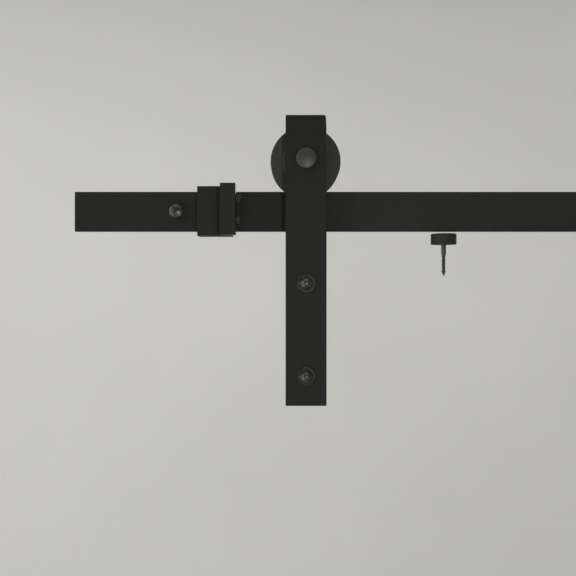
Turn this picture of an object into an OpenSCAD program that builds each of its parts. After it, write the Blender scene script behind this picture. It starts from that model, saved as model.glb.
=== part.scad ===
// Sliding barn door track: a flat rail on wall standoffs, two bent-strap hangers
// with grooved ball-bearing wheels, two anti-jump discs and two end stops.
// Origin: on the wall plane at the middle of the line of wall fixings.
// +X runs along the rail, +Y points into the wall, +Z is up.

/* [Rail] */
// Length of the rail
rail_l = 2006; // [1700:2:2400]
// Height of the rail's section
rail_h = 40; // [38:0.5:42]
// Thickness of the rail's section
rail_t = 6; // [5:0.5:6.5]
// Distance from each end of the rail to its first fixing hole
hole_inset = 103; // [95:1:106]
// Length of the standoffs between the wall and the rail
standoff_l = 38; // [38:1:50]
// Outer diameter of the standoffs
standoff_d = 22; // [18:0.5:24]

/* [Wheel] */
// Outside diameter of the wheel's flanges
wheel_d = 70; // [68:0.5:72]
// Width of the wheel across its hub faces
wheel_w = 24; // [24:0.5:26]
// Depth of the groove that runs on the rail
groove_depth = 5.8; // [4.5:0.1:6]

/* [Hanger] */
// Width of the strap
strap_w = 40; // [36:0.5:44]
// Thickness of the strap
strap_t = 6; // [5:0.5:6.5]
// Outside radius of the strap's bend over the wheel
bend_r = 27; // [26.5:0.5:28]
// Height of the bend's centre above the axle
bend_rise = 21.1; // [18:0.1:26]
// Distance from the rail's centreline down to the strap's lower end
strap_drop = 192; // [180:1:220]
// Distance from the axle down to the end of the strap's rear leg
rear_leg_drop = 22.3; // [16:0.1:24]
// Distance between the two door bolts
bolt_pitch = 90; // [70:1:100]
// Distance from the strap's lower end to the lower door bolt
bolt_inset = 29.5; // [20:0.5:34]

/* [Door] */
// Width of the door that the two hangers are set out for
door_w = 914; // [760:1:1000]
// Distance from the door's edge to the middle of the nearer strap
door_edge = 53; // [40:1:80]
// Clear height between the rail and the top of the door
door_gap = 13; // [12:0.5:16]
// Distance from a strap's middle to its anti-jump disc
disc_offset = 140; // [60:1:200]
// Diameter of the anti-jump disc
disc_d = 25.8; // [20:0.2:30]
// Gap left between the rail and the anti-jump disc
disc_gap = 2.3; // [1.5:0.1:3.5]

/* [End stop] */
// Distance from the end of the rail to the stop's outer face
stop_inset = 124.5; // [120:0.5:140]
// Length of the stop's clamp block along the rail
block_w = 35; // [30:0.5:40]
// Height of the clamp block
block_h = 49.5; // [47:0.5:52]
// Height of the stop's front bar
bar_h = 50; // [46:0.5:54]
// Clear distance between the left stop's bumpers and the left strap at rest
rest_gap = 44; // [5:1:120]

/* [Hidden] */
fine = 96;
medium = 48;

// Rail, standoffs and wall fixings
rail_edge_r = 0.8;
fixing_count = 5;
hole_pitch = (rail_l - 2 * hole_inset) / (fixing_count - 1);
hole_r = 4.5;
rail_y = -standoff_l - rail_t / 2;
rail_front = rail_y - rail_t / 2;
rail_back = rail_y + rail_t / 2;
rail_end = rail_l / 2;
lag_r = 4;
lag_head_af = 13;
lag_head_h = 6.7;
lag_crown_r = 12.5;
lag_plain_l = 12;
lag_thread_pitch = 3;
lag_thread_rings = 12;
lag_tip_l = 6;
washer_r = 9;
washer_t = 1.6;
neck_relief = 0.3;

// Hanger, wheel and axle, about the axle's own centre
fit_gap = 0.05;
wheel_gap = 0.1;
wheel_r = wheel_d / 2;
groove_r = wheel_r - groove_depth;
groove_half = rail_t / 2 + 0.7;
hub_face_r = 21.4;
flange_y = wheel_w / 2 - 1;
rim_round = 1.2;
axle_z = rail_h / 2 + wheel_gap + groove_r;
axle_r = 5;
axle_head_r = 9.8;
axle_head_h = 3.6;
axle_crown_h = 1.8;
axle_washer_r = 10;
axle_washer_t = 2;
axle_nut_af = 17;
axle_nut_h = 6;
axle_tail = 2;
strap_front = rail_y - bend_r;
strap_inside = strap_front + strap_t;
strap_rear = rail_y + bend_r;
bend_z = axle_z + bend_rise;
strap_bottom = -strap_drop;
lower_bolt_z = strap_bottom + bolt_inset;
upper_bolt_z = lower_bolt_z + bolt_pitch;

// Ball bearing, 10 x 26 x 8 mm
bearing_id_r = 5;
bearing_od_r = 13;
bearing_w = 8;
ball_count = 7;
ball_r = 2.38;
ball_orbit_r = 9;
race_r = 2.45;
inner_land_r = 7.35;
outer_land_r = 10.65;
shield_r = 7.6;
shield_t = 0.4;
bearing_y = wheel_w / 2 - bearing_w / 2;
cage_inner_r = 8.3;
cage_outer_r = 9.8;
cage_w = 5.4;
pocket_r = ball_r + 0.12;

// Door bolts
door_bolt_r = 4;
door_bolt_af = 13;
door_bolt_hex_h = 6.2;
door_bolt_dome_r = 6.2;
door_bolt_dome_sink = 0.6;
door_bolt_plain_l = 30;
door_bolt_thread_pitch = 1.25;
door_bolt_thread_rings = 15;

// Anti-jump disc
door_top = -rail_h / 2 - door_gap;
disc_h = door_gap - disc_gap;
disc_screw_r = 2.5;
disc_screw_head_r = 4.8;
disc_screw_plain_l = 10;
disc_thread_pitch = 2;
disc_thread_rings = 9;

// End stop, measured along +X from the end of the rail
slot_gap = 0.2;
block_front = rail_front - 7.5;
block_back = rail_back + 5;
bar_start = 24.7;
bar_w = 15;
bar_front = rail_y - 31;
bar_back = rail_y - 19;
neck_w = 10;
neck_h = 36;
bumper_r = 4.3;
bumper_l = 4.6;
bumper_y = rail_y - 25;
bumper_z = 10;
bumper_stem_r = 2.5;
bumper_stem_l = 7;
grub_r = 3;
grub_z = 10;
grub_hex_af = 3;
stop_round = 0.6;

// Places along the rail
stop_reach = stop_inset + bar_start + bar_w + bumper_l;
left_x = -rail_end + stop_reach + rest_gap + strap_w / 2;
right_x = left_x + door_w - 2 * door_edge;

black = [0.16, 0.16, 0.155];
black_bolt = [0.22, 0.22, 0.215];
black_wheel = [0.2, 0.2, 0.2];
rubber = [0.11, 0.11, 0.11];
steel = [0.62, 0.63, 0.65];
brass = [0.7, 0.58, 0.32];

function hole_x(i) = (i - (fixing_count + 1) / 2) * hole_pitch;
function corner_r(across_flats) = across_flats / 2 / cos(30);

// ---- shared shapes ----

// Turns a shape that was made along +Z so that it points along +Y
module towards_wall(x, y, z) {
    translate([x, y, z]) rotate([-90, 0, 0]) children();
}

// A rectangle with round corners, centred
module round_rect(w, h, r) {
    square([w - 2 * r, h], center = true);
    square([w, h - 2 * r], center = true);
    for (sx = [-1, 1], sy = [-1, 1])
        translate([sx * (w / 2 - r), sy * (h / 2 - r)]) circle(r = r, $fn = medium);
}

// A block with every edge rounded in outline, from three crossed extrusions
module round_block(size, r) {
    intersection() {
        linear_extrude(size[2], center = true) round_rect(size[0], size[1], r);
        rotate([90, 0, 0]) linear_extrude(size[1], center = true) round_rect(size[0], size[2], r);
        rotate([90, 0, 90]) linear_extrude(size[0], center = true) round_rect(size[1], size[2], r);
    }
}

// A tube along +Z with a small chamfer at both ends
module tube(outer_r, inner_r, h, bevel) {
    rotate_extrude($fn = fine)
        polygon([
            [inner_r, 0], [outer_r - bevel, 0], [outer_r, bevel],
            [outer_r, h - bevel], [outer_r - bevel, h], [inner_r, h]
        ]);
}

// A threaded length along +Z drawn as rings, each a full-height crest between two flanks
module thread_rings(crest_r, depth, pitch, rings) {
    root_r = crest_r - depth;
    rotate_extrude($fn = medium)
        polygon(concat(
            [[0, 0]],
            [for (i = [0:rings - 1], p = [[root_r, 0], [root_r, 0.12], [crest_r, 0.45], [crest_r, 0.6]])
                [p[0], (i + p[1]) * pitch]],
            [[root_r, rings * pitch], [0, rings * pitch]]
        ));
}

// A hexagon bar along +Z with a flat on each side in X
module hex_bar(across_flats, h) {
    rotate([0, 0, 30]) cylinder(r = corner_r(across_flats), h = h, $fn = 6);
}

// ---- rail and its wall fixings ----

module track_rail() {
    color(black) difference() {
        translate([0, rail_y, 0]) rotate([90, 0, 90])
            linear_extrude(rail_l, center = true) round_rect(rail_t, rail_h, rail_edge_r);
        for (i = [1:fixing_count])
            towards_wall(hole_x(i), rail_front - 1, 0) cylinder(r = hole_r, h = rail_t + 2, $fn = fine);
    }
}

module standoff(i) {
    color(black) towards_wall(hole_x(i), rail_back, 0)
        tube(standoff_d / 2, hole_r, standoff_l, 0.8);
}

module lag_screws() {
    color(black_bolt) for (i = [1:fixing_count]) lag_screw(hole_x(i));
}

// Under-head face on the washer, relieved neck to the wall, plain shank, thread and point
module lag_screw(x) {
    head_y = rail_front - washer_t;
    thread_l = lag_thread_pitch * lag_thread_rings;
    root_r = lag_r - neck_relief - 1;
    towards_wall(x, head_y - lag_head_h, 0) intersection() {
        hex_bar(lag_head_af, lag_head_h);
        translate([0, 0, lag_crown_r]) sphere(r = lag_crown_r, $fn = fine);
    }
    towards_wall(x, head_y - 1, 0) cylinder(r = lag_r - neck_relief, h = 2 - head_y, $fn = medium);
    towards_wall(x, 0, 0) cylinder(r = lag_r, h = lag_plain_l, $fn = medium);
    towards_wall(x, lag_plain_l, 0)
        thread_rings(lag_r - neck_relief, 1, lag_thread_pitch, lag_thread_rings);
    towards_wall(x, lag_plain_l + thread_l, 0)
        cylinder(r1 = root_r, r2 = 0.3, h = lag_tip_l, $fn = medium);
    towards_wall(x, lag_plain_l - 1, 0) cylinder(r = root_r - 0.2, h = thread_l + 2, $fn = medium);
}

module lag_washers() {
    color(black_bolt) for (i = [1:fixing_count])
        towards_wall(hole_x(i), rail_front - washer_t, 0)
            tube(washer_r, lag_r + 0.2, washer_t, 0.3);
}

// ---- end stops: drawn for the left end, mirrored for the right ----

module at_stop(side) {
    if (side < 0) translate([-rail_end + stop_inset, 0, 0]) children();
    else mirror([1, 0, 0]) translate([-rail_end + stop_inset, 0, 0]) children();
}

module end_stop(side) {
    block_t = block_back - block_front;
    bar_t = bar_back - bar_front;
    neck_y = (bar_back - 1 + block_front + 1) / 2;
    color(black) at_stop(side) difference() {
        union() {
            translate([block_w / 2, (block_back + block_front) / 2, 0])
                round_block([block_w, block_t, block_h], stop_round);
            translate([bar_start + bar_w / 2, (bar_back + bar_front) / 2, 0])
                round_block([bar_w, bar_t, bar_h], stop_round);
            translate([bar_start + neck_w / 2, neck_y, 0])
                cube([neck_w, block_front - bar_back + 2, neck_h], center = true);
        }
        translate([block_w / 2, rail_y, 0])
            cube([block_w + 2, rail_t + 2 * slot_gap, rail_h + 2 * slot_gap], center = true);
        for (s = [-1, 1]) {
            towards_wall(block_w / 2, rail_y, s * grub_z)
                cylinder(r = grub_r + fit_gap, h = block_t, $fn = medium);
            translate([bar_start + bar_w, bumper_y, s * bumper_z]) rotate([0, -90, 0])
                cylinder(r = bumper_stem_r + fit_gap, h = bumper_stem_l + 0.5, $fn = medium);
        }
    }
}

// A rubber button with a stem pressed into the bar
module stop_bumper(side, up) {
    color(rubber) at_stop(side)
        translate([bar_start + bar_w, bumper_y, up * bumper_z]) rotate([0, 90, 0]) {
            intersection() {
                cylinder(r = bumper_r, h = bumper_l, $fn = medium);
                translate([0, 0, bumper_l - 14]) sphere(r = 14, $fn = fine);
            }
            translate([0, 0, -bumper_stem_l])
                cylinder(r = bumper_stem_r, h = bumper_stem_l + 0.5, $fn = medium);
        }
}

// Two socket set screws through the back of the clamp block, bearing on the rail
module stop_set_screws(side) {
    grub_l = block_back - rail_back - 0.6;
    color(black_bolt) at_stop(side) for (s = [-1, 1])
        towards_wall(block_w / 2, rail_back, s * grub_z) difference() {
            rotate_extrude($fn = medium)
                polygon([[0, 0], [grub_r - 0.9, 0], [grub_r, 0.9], [grub_r, grub_l - 0.3],
                         [grub_r - 0.3, grub_l], [0, grub_l]]);
            translate([0, 0, grub_l - 2.4]) hex_bar(grub_hex_af, 3);
        }
}

// ---- hangers ----

module strap(x) {
    leg_l = bend_z - strap_bottom;
    rear_l = bend_z - axle_z + rear_leg_drop;
    color(black) difference() {
        translate([x, rail_y, bend_z]) rotate([90, 0, 90]) linear_extrude(strap_w, center = true) {
            intersection() {
                difference() {
                    circle(r = bend_r, $fn = fine);
                    circle(r = bend_r - strap_t, $fn = fine);
                }
                translate([-bend_r, 0]) square([2 * bend_r, bend_r]);
            }
            translate([-bend_r, -leg_l]) square([strap_t, leg_l]);
            translate([bend_r - strap_t, -rear_l]) square([strap_t, rear_l]);
        }
        towards_wall(x, strap_front - 1, axle_z)
            cylinder(r = axle_r + fit_gap, h = 2 * bend_r + 2, $fn = fine);
        for (z = [lower_bolt_z, upper_bolt_z])
            towards_wall(x, strap_front - 1, z)
                cylinder(r = door_bolt_r + 0.2, h = strap_t + 2, $fn = fine);
    }
}

// Round crowned head, plain shank through the bearings, short tail past the nut
module axle_bolt(x) {
    crown_r = (pow(axle_head_r, 2) + pow(axle_crown_h, 2)) / (2 * axle_crown_h);
    shank_l = 2 * bend_r + axle_washer_t + axle_nut_h + axle_tail;
    head_l = axle_head_h + axle_crown_h;
    color(black_bolt) {
        towards_wall(x, strap_front - head_l, axle_z) intersection() {
            cylinder(r = axle_head_r, h = head_l, $fn = fine);
            translate([0, 0, crown_r]) sphere(r = crown_r, $fn = fine);
        }
        towards_wall(x, strap_front, axle_z) rotate_extrude($fn = fine)
            polygon([[0, -0.5], [axle_r, -0.5], [axle_r, shank_l - 1], [axle_r - 1, shank_l], [0, shank_l]]);
    }
}

module axle_washer(x) {
    color(black_bolt) towards_wall(x, strap_rear, axle_z)
        tube(axle_washer_r, axle_r + fit_gap, axle_washer_t, 0.3);
}

module axle_nut(x) {
    color(black_bolt) towards_wall(x, strap_rear + axle_washer_t, axle_z) difference() {
        intersection() {
            hex_bar(axle_nut_af, axle_nut_h);
            rotate_extrude($fn = fine)
                polygon([[0, 0], [axle_nut_af / 2 + 1.5, 0], [axle_nut_af / 2 + 1.5, axle_nut_h - 1.2],
                         [axle_nut_af / 2 - 0.4, axle_nut_h], [0, axle_nut_h]]);
        }
        translate([0, 0, -1]) cylinder(r = axle_r + fit_gap, h = axle_nut_h + 2, $fn = fine);
    }
}

// A stepped sleeve: its thin nose bears on the bearing's inner ring only
module bushing(x, side) {
    nose_l = 1;
    body_l = bend_r - strap_t - wheel_w / 2 - nose_l;
    color(steel) translate([x, rail_y, axle_z]) rotate([side < 0 ? 90 : -90, 0, 0])
        translate([0, 0, wheel_w / 2]) rotate_extrude($fn = fine)
            polygon([[axle_r + fit_gap, 0], [inner_land_r - 0.3, 0], [inner_land_r - 0.3, nose_l],
                     [9, nose_l], [9, nose_l + body_l], [axle_r + fit_gap, nose_l + body_l]]);
}

module bearing_spacer(x) {
    spacer_l = 2 * (bearing_y - bearing_w / 2);
    color(steel) towards_wall(x, rail_y - spacer_l / 2, axle_z)
        tube(inner_land_r - 0.3, axle_r + fit_gap, spacer_l, 0.2);
}

module door_bolts(x) {
    color(black_bolt) for (z = [lower_bolt_z, upper_bolt_z]) door_bolt(x, z);
}

// High domed hexagon head, relieved neck through the strap, plain shank and threaded end
module door_bolt(x, z) {
    head_y = strap_front - washer_t;
    plain_end = strap_inside + door_bolt_plain_l;
    dome_space = door_bolt_dome_r + 1;
    thread_l = door_bolt_thread_pitch * door_bolt_thread_rings;
    towards_wall(x, head_y - door_bolt_hex_h, z) rotate([0, 0, 30]) intersection() {
        hex_bar(door_bolt_af, door_bolt_hex_h);
        translate([0, 0, 11.2]) sphere(r = 12.1, $fn = fine);
    }
    towards_wall(x, head_y - door_bolt_hex_h + door_bolt_dome_sink, z) intersection() {
        sphere(r = door_bolt_dome_r, $fn = fine);
        translate([0, 0, -dome_space]) cylinder(r = dome_space, h = dome_space + 1, $fn = fine);
    }
    towards_wall(x, head_y - 1, z)
        cylinder(r = door_bolt_r - neck_relief, h = strap_t + washer_t + 2, $fn = medium);
    towards_wall(x, strap_inside, z) cylinder(r = door_bolt_r, h = door_bolt_plain_l, $fn = medium);
    towards_wall(x, plain_end, z)
        thread_rings(door_bolt_r - neck_relief, 0.6, door_bolt_thread_pitch, door_bolt_thread_rings);
    towards_wall(x, plain_end - 1, z)
        cylinder(r = door_bolt_r - 0.9, h = thread_l + 1.6, $fn = medium);
}

module door_washers(x) {
    color(black_bolt) for (z = [lower_bolt_z, upper_bolt_z])
        towards_wall(x, strap_front - washer_t, z)
            tube(washer_r, door_bolt_r + 0.2, washer_t, 0.3);
}

// A disc on the door's top edge, just under the rail, with a countersunk hole
module anti_jump_disc(x) {
    seat_r = disc_screw_head_r + 0.15;
    bore_r = disc_screw_r + 0.2;
    seat_top = disc_h - 0.8;
    seat_drop = (seat_r - bore_r) * 2.3 / (disc_screw_head_r - disc_screw_r + neck_relief);
    color(black) translate([x, rail_y, door_top]) rotate_extrude($fn = fine)
        polygon([
            [bore_r, 0], [disc_d / 2 - 0.5, 0], [disc_d / 2, 0.5],
            [disc_d / 2, disc_h - 0.6], [disc_d / 2 - 0.6, disc_h],
            [seat_r, disc_h], [seat_r, seat_top], [bore_r, seat_top - seat_drop]
        ]);
}

// Countersunk wood screw that holds the disc down, its free end in the door
module disc_screw(x) {
    head_top = disc_h - 0.5;
    neck_r = disc_screw_r - neck_relief;
    thread_l = disc_thread_pitch * disc_thread_rings;
    color(black_bolt) translate([x, rail_y, door_top]) {
        difference() {
            rotate_extrude($fn = medium)
                polygon([[0, 0], [neck_r, 0], [neck_r, head_top - 2.6], [disc_screw_head_r, head_top - 0.3],
                         [disc_screw_head_r, head_top], [0, head_top]]);
            for (a = [0, 90]) rotate([0, 0, a]) translate([0, 0, head_top - 0.7])
                cube([5.2, 1, 2], center = true);
        }
        mirror([0, 0, 1]) {
            cylinder(r = disc_screw_r, h = disc_screw_plain_l, $fn = medium);
            translate([0, 0, disc_screw_plain_l])
                thread_rings(neck_r, 0.7, disc_thread_pitch, disc_thread_rings);
            translate([0, 0, disc_screw_plain_l + thread_l])
                cylinder(r1 = disc_screw_r - 0.8, r2 = 0.2, h = 4, $fn = medium);
        }
    }
}

// ---- wheels and their bearings ----

// One side of the wheel's section, from the bearing seat round the rim to the groove's floor
function wheel_side(s) = let (half_w = wheel_w / 2, seat = half_w - bearing_w - fit_gap) [
    [outer_land_r + 0.6, s * seat], [bearing_od_r + fit_gap, s * seat],
    [bearing_od_r + fit_gap, s * (half_w - 0.4)], [bearing_od_r + 0.4, s * half_w],
    [hub_face_r, s * half_w], [hub_face_r + 1, s * flange_y],
    for (a = [90:-22.5:-45])
        [wheel_r - rim_round + rim_round * cos(a), s * (flange_y - rim_round + rim_round * sin(a))],
    [groove_r + 0.7, s * (groove_half + 0.5)], [groove_r, s * (groove_half - 0.3)]
];

// Grooved wheel with a raised hub face and a bearing seat in each side
module wheel(x) {
    far_side = wheel_side(1);
    near_side = wheel_side(-1);
    color(black_wheel) towards_wall(x, rail_y, axle_z) rotate_extrude($fn = fine)
        polygon(concat(far_side, [for (i = [len(near_side) - 1:-1:0]) near_side[i]]));
}

// One bearing's place in the wheel: side -1 faces the room, side 1 faces the wall
module at_bearing(x, side) {
    towards_wall(x, rail_y + side * bearing_y, axle_z) children();
}

// A bearing ring with its ball groove cut by a circle
module bearing_ring(low_r, high_r) {
    rotate_extrude($fn = fine) difference() {
        translate([low_r, -bearing_w / 2]) square([high_r - low_r, bearing_w]);
        translate([ball_orbit_r, 0]) circle(r = race_r, $fn = medium);
    }
}

module inner_rings(x) {
    color(steel) for (side = [-1, 1])
        at_bearing(x, side) bearing_ring(bearing_id_r + fit_gap, inner_land_r);
}

module outer_rings(x) {
    color(steel) for (side = [-1, 1])
        at_bearing(x, side) bearing_ring(outer_land_r, bearing_od_r);
}

// Thin shield inside the outer ring's mouth, on the face that the wheel leaves open
module bearing_shields(x) {
    color(black_bolt) for (side = [-1, 1])
        towards_wall(x, rail_y + side * (wheel_w / 2 - 0.5) - shield_t / 2, axle_z)
            rotate_extrude($fn = fine) translate([shield_r, 0])
                square([outer_land_r - 0.02 - shield_r, shield_t]);
}

module bearing_balls(x) {
    color(steel) for (side = [-1, 1], k = [1:ball_count])
        at_bearing(x, side) rotate([0, 0, k * 360 / ball_count])
            translate([ball_orbit_r, 0, 0]) sphere(r = ball_r, $fn = medium);
}

// Ring with a round pocket for each ball
module bearing_cages(x) {
    color(brass) for (side = [-1, 1]) at_bearing(x, side) difference() {
        rotate_extrude($fn = fine) translate([cage_inner_r, -cage_w / 2])
            square([cage_outer_r - cage_inner_r, cage_w]);
        for (k = [1:ball_count]) rotate([0, 0, k * 360 / ball_count])
            translate([cage_inner_r - 1, 0, 0]) rotate([0, 90, 0])
                cylinder(r = pocket_r, h = 4, $fn = medium);
    }
}

track_rail();
standoff(1);  // standoff_1
standoff(2);  // standoff_2
standoff(3);  // standoff_3
standoff(4);  // standoff_4
standoff(5);  // standoff_5
lag_screws();
lag_washers();
end_stop(-1);  // left_stop
stop_bumper(-1, 1);  // left_stop_upper_bumper
stop_bumper(-1, -1);  // left_stop_lower_bumper
stop_set_screws(-1);  // left_stop_set_screws
end_stop(1);  // right_stop
stop_bumper(1, 1);  // right_stop_upper_bumper
stop_bumper(1, -1);  // right_stop_lower_bumper
stop_set_screws(1);  // right_stop_set_screws
strap(left_x);  // left_strap
axle_bolt(left_x);  // left_axle_bolt
axle_washer(left_x);  // left_axle_washer
axle_nut(left_x);  // left_axle_nut
bushing(left_x, -1);  // left_front_bushing
bushing(left_x, 1);  // left_rear_bushing
bearing_spacer(left_x);  // left_bearing_spacer
inner_rings(left_x);  // left_inner_rings
door_bolts(left_x);  // left_door_bolts
door_washers(left_x);  // left_door_washers
anti_jump_disc(left_x + disc_offset);  // left_anti_jump_disc
disc_screw(left_x + disc_offset);  // left_disc_screw
wheel(left_x);  // left_wheel
outer_rings(left_x);  // left_outer_rings
bearing_shields(left_x);  // left_bearing_shields
bearing_balls(left_x);  // left_bearing_balls
bearing_cages(left_x);  // left_bearing_cages
strap(right_x);  // right_strap
axle_bolt(right_x);  // right_axle_bolt
axle_washer(right_x);  // right_axle_washer
axle_nut(right_x);  // right_axle_nut
bushing(right_x, -1);  // right_front_bushing
bushing(right_x, 1);  // right_rear_bushing
bearing_spacer(right_x);  // right_bearing_spacer
inner_rings(right_x);  // right_inner_rings
door_bolts(right_x);  // right_door_bolts
door_washers(right_x);  // right_door_washers
anti_jump_disc(right_x - disc_offset);  // right_anti_jump_disc
disc_screw(right_x - disc_offset);  // right_disc_screw
wheel(right_x);  // right_wheel
outer_rings(right_x);  // right_outer_rings
bearing_shields(right_x);  // right_bearing_shields
bearing_balls(right_x);  // right_bearing_balls
bearing_cages(right_x);  // right_bearing_cages
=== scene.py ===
import math

import bmesh
import bpy
from mathutils import Matrix, Vector, geometry


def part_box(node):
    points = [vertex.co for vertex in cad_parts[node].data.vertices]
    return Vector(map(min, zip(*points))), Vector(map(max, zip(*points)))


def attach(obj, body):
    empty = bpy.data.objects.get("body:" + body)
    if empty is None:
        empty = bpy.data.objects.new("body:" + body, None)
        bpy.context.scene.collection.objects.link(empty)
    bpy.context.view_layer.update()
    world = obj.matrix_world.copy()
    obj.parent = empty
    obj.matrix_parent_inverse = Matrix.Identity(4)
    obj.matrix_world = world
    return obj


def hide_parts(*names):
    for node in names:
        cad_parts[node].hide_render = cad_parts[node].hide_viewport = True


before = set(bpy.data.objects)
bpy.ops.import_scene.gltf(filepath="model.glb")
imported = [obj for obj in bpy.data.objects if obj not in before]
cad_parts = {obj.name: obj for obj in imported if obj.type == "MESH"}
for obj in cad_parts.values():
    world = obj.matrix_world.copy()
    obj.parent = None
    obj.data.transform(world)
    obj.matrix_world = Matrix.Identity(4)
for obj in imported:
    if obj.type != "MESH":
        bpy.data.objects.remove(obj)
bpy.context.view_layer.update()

# ---------------------------------------------------------------- sizes, in metres
MM = 0.001
SIDES = ("left", "right")
TAU = 2 * math.pi

# The camera stands square to the rail, near its left end and a little below it.
VIEW_FROM_END = 0.2152
VIEW_DISTANCE = 0.700
VIEW_BELOW = 0.077
LENS_MM = 43.39
SENSOR_MM = 36.0

SMOOTH_ANGLE = math.radians(40)
EDGE_LIGHT_SHADE_WEAR_WIDTH = 0.5 * MM
SEGMENTS = 96
SMALL_SEGMENTS = 48
RING_SEGMENTS = 72
WHEEL_SEGMENTS = 144
FIXINGS = range(1, 6)

RAIL_LOW, RAIL_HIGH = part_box("track_rail")
RAIL_FRONT = RAIL_LOW.y
RAIL_MID_Y = (RAIL_LOW.y + RAIL_HIGH.y) / 2
RAIL_T = RAIL_HIGH.y - RAIL_LOW.y
HOLE_R = 4.5 * MM
RAIL_EDGE = 0.7 * MM

STRAP_T = 6 * MM
STRAP_EDGE = 0.8 * MM
STRAP_END_R = 1.0 * MM
REAR_LEG_DROP = 22.3 * MM

STOP_BLOCK_W = 35 * MM
STOP_BLOCK_HALF_H = 24.75 * MM
STOP_BLOCK_FRONT = 7.5 * MM
STOP_BAR_START = 24.7 * MM
STOP_BAR_W = 15 * MM
STOP_BAR_T = 12 * MM
STOP_NECK_W = 10 * MM
STOP_NECK_HALF_H = 18 * MM
STOP_CORNER_R = 0.6 * MM
STOP_BLOCK_EDGE = 0.4 * MM
STOP_BAR_EDGE = 0.6 * MM
STOP_SLOT_GAP = 0.2 * MM
STOP_HOLE_Z = 10 * MM
BUMPER_STEM_R = 2.5 * MM
BUMPER_STEM_L = 7 * MM
SET_SCREW_R = 3 * MM

M8_R = 4 * MM
M8_NECK_R = 3.7 * MM
WASHER_R = 9 * MM
WASHER_HOLE_R = 4.2 * MM
WASHER_T = 1.6 * MM
FIT = 0.05 * MM
LAG_AF = 13 * MM
LAG_HEAD_H = 6.7 * MM
LAG_CROWN_R = 12.5 * MM
LAG_PITCH = 3 * MM
LAG_THREAD_DEPTH = 1.0 * MM
BOLT_AF = 13 * MM
BOLT_HEX_H = 6.2 * MM
BOLT_DOME_R = 6.2 * MM
BOLT_DOME_SINK = 0.6 * MM
BOLT_CHAMFER_R = 12.1 * MM
BOLT_CHAMFER_SINK = 11.2 * MM
BOLT_PITCH = 1.25 * MM
BOLT_THREAD_DEPTH = 0.6 * MM
AXLE_R = 5 * MM
AXLE_PITCH = 1.5 * MM
AXLE_NUT_AF = 17 * MM
AXLE_CROWN_H = 1.8 * MM
DISC_SCREW_R = 2.5 * MM
DISC_SCREW_NECK_R = 2.2 * MM
GROOVE_DEPTH = 5.8 * MM
BEARING_SEAT_R = 13.05 * MM
BEARING_SEAT_DEPTH = 8.05 * MM

# Sockets of a colour mix node
MIX_A, MIX_B, MIX_RESULT = 6, 7, 2


# ---------------------------------------------------------------- mesh helpers
def centre(node):
    low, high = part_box(node)
    return (low + high) / 2


def arc(cx, cy, r, start, end, steps):
    """Points on an arc, angles in degrees."""
    span = [math.radians(start + (end - start) * i / steps) for i in range(steps + 1)]
    return [(cx + r * math.cos(a), cy + r * math.sin(a)) for a in span]


def soften(points, radius, steps=4, closed=True):
    """A polyline with its corners turned into small arcs. radius is one number or one per corner."""
    radii = radius if isinstance(radius, (list, tuple)) else [radius] * len(points)
    out, n = [], len(points)
    for i, p in enumerate(points):
        if radii[i] <= 0 or (not closed and i in (0, n - 1)):
            out.append(tuple(p))
            continue
        p = Vector(p)
        a = Vector(points[(i - 1) % n]) - p
        b = Vector(points[(i + 1) % n]) - p
        turn = a.angle(b)
        if turn > math.radians(178):
            out.append(tuple(p))
            continue
        reach = min(radii[i] / math.tan(turn / 2), a.length * 0.48, b.length * 0.48)
        r = reach * math.tan(turn / 2)
        a.normalize()
        b.normalize()
        mid = p + (a + b).normalized() * (r / math.sin(turn / 2))
        start, end = p + a * reach - mid, p + b * reach - mid
        for k in range(steps + 1):
            q = mid + start.slerp(end, k / steps).normalized() * r
            out.append((q.x, q.y))
    return out


def finish_mesh(name, bm):
    """Turns a bmesh into an object with clean normals, and marks the narrow faces of its
    convex edges for a painted edge highlight and painted edge shade, with a little wear."""
    bmesh.ops.remove_doubles(bm, verts=bm.verts, dist=1e-7)
    bmesh.ops.recalc_face_normals(bm, faces=bm.faces)
    # Painted light: this face mask picks the narrow faces of convex edges. There each coat paints its edge
    # colour, a painted highlight where that colour is lighter and painted shade where it is darker, with a
    # little wear.
    edge_light_shade_wear = bm.faces.layers.float.new("painted_edge_light_shade_and_wear")
    for face in bm.faces:
        longest = max(e.calc_length() for e in face.edges)
        if face.calc_area() < longest * EDGE_LIGHT_SHADE_WEAR_WIDTH:
            sides = [e for e in face.edges if len(e.link_faces) == 2 and e.calc_length() > longest / 2]
            bend = min((e.calc_face_angle_signed(0.0) for e in sides), default=0)
            face[edge_light_shade_wear] = min(max((math.degrees(bend) - 6) / 10, 0), 1)
    mesh = bpy.data.meshes.new(name)
    bm.to_mesh(mesh)
    bm.free()
    mesh.shade_smooth()
    mesh.set_sharp_from_angle(angle=SMOOTH_ANGLE)
    obj = bpy.data.objects.new(name, mesh)
    bpy.context.scene.collection.objects.link(obj)
    weighted = obj.modifiers.new("weighted_normals", "WEIGHTED_NORMAL")
    weighted.keep_sharp = True
    return obj


def add_spun(bm, rings, place, segments=SMALL_SEGMENTS, loop=False):
    """Rings of points about local Z, joined in order. A ring is (radius, height); either may be a function
    of the angle. loop joins the last ring to the first, otherwise both ends close at the axis."""
    rows = []
    for radius, height in rings:
        row = []
        for k in range(segments):
            a = TAU * k / segments
            r = radius(a) if callable(radius) else radius
            h = height(a) if callable(height) else height
            row.append(bm.verts.new(place @ Vector((r * math.cos(a), r * math.sin(a), h))))
        rows.append(row)
    pairs = list(zip(rows, rows[1:])) + ([(rows[-1], rows[0])] if loop else [])
    for low, high in pairs:
        for k in range(segments):
            j = (k + 1) % segments
            bm.faces.new((low[k], low[j], high[j], high[k]))
    if not loop:
        for row in (rows[0], rows[-1]):
            tip = bm.verts.new(sum((v.co for v in row), Vector()) / segments)
            for k in range(segments):
                bm.faces.new((row[k], row[(k + 1) % segments], tip))


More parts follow.
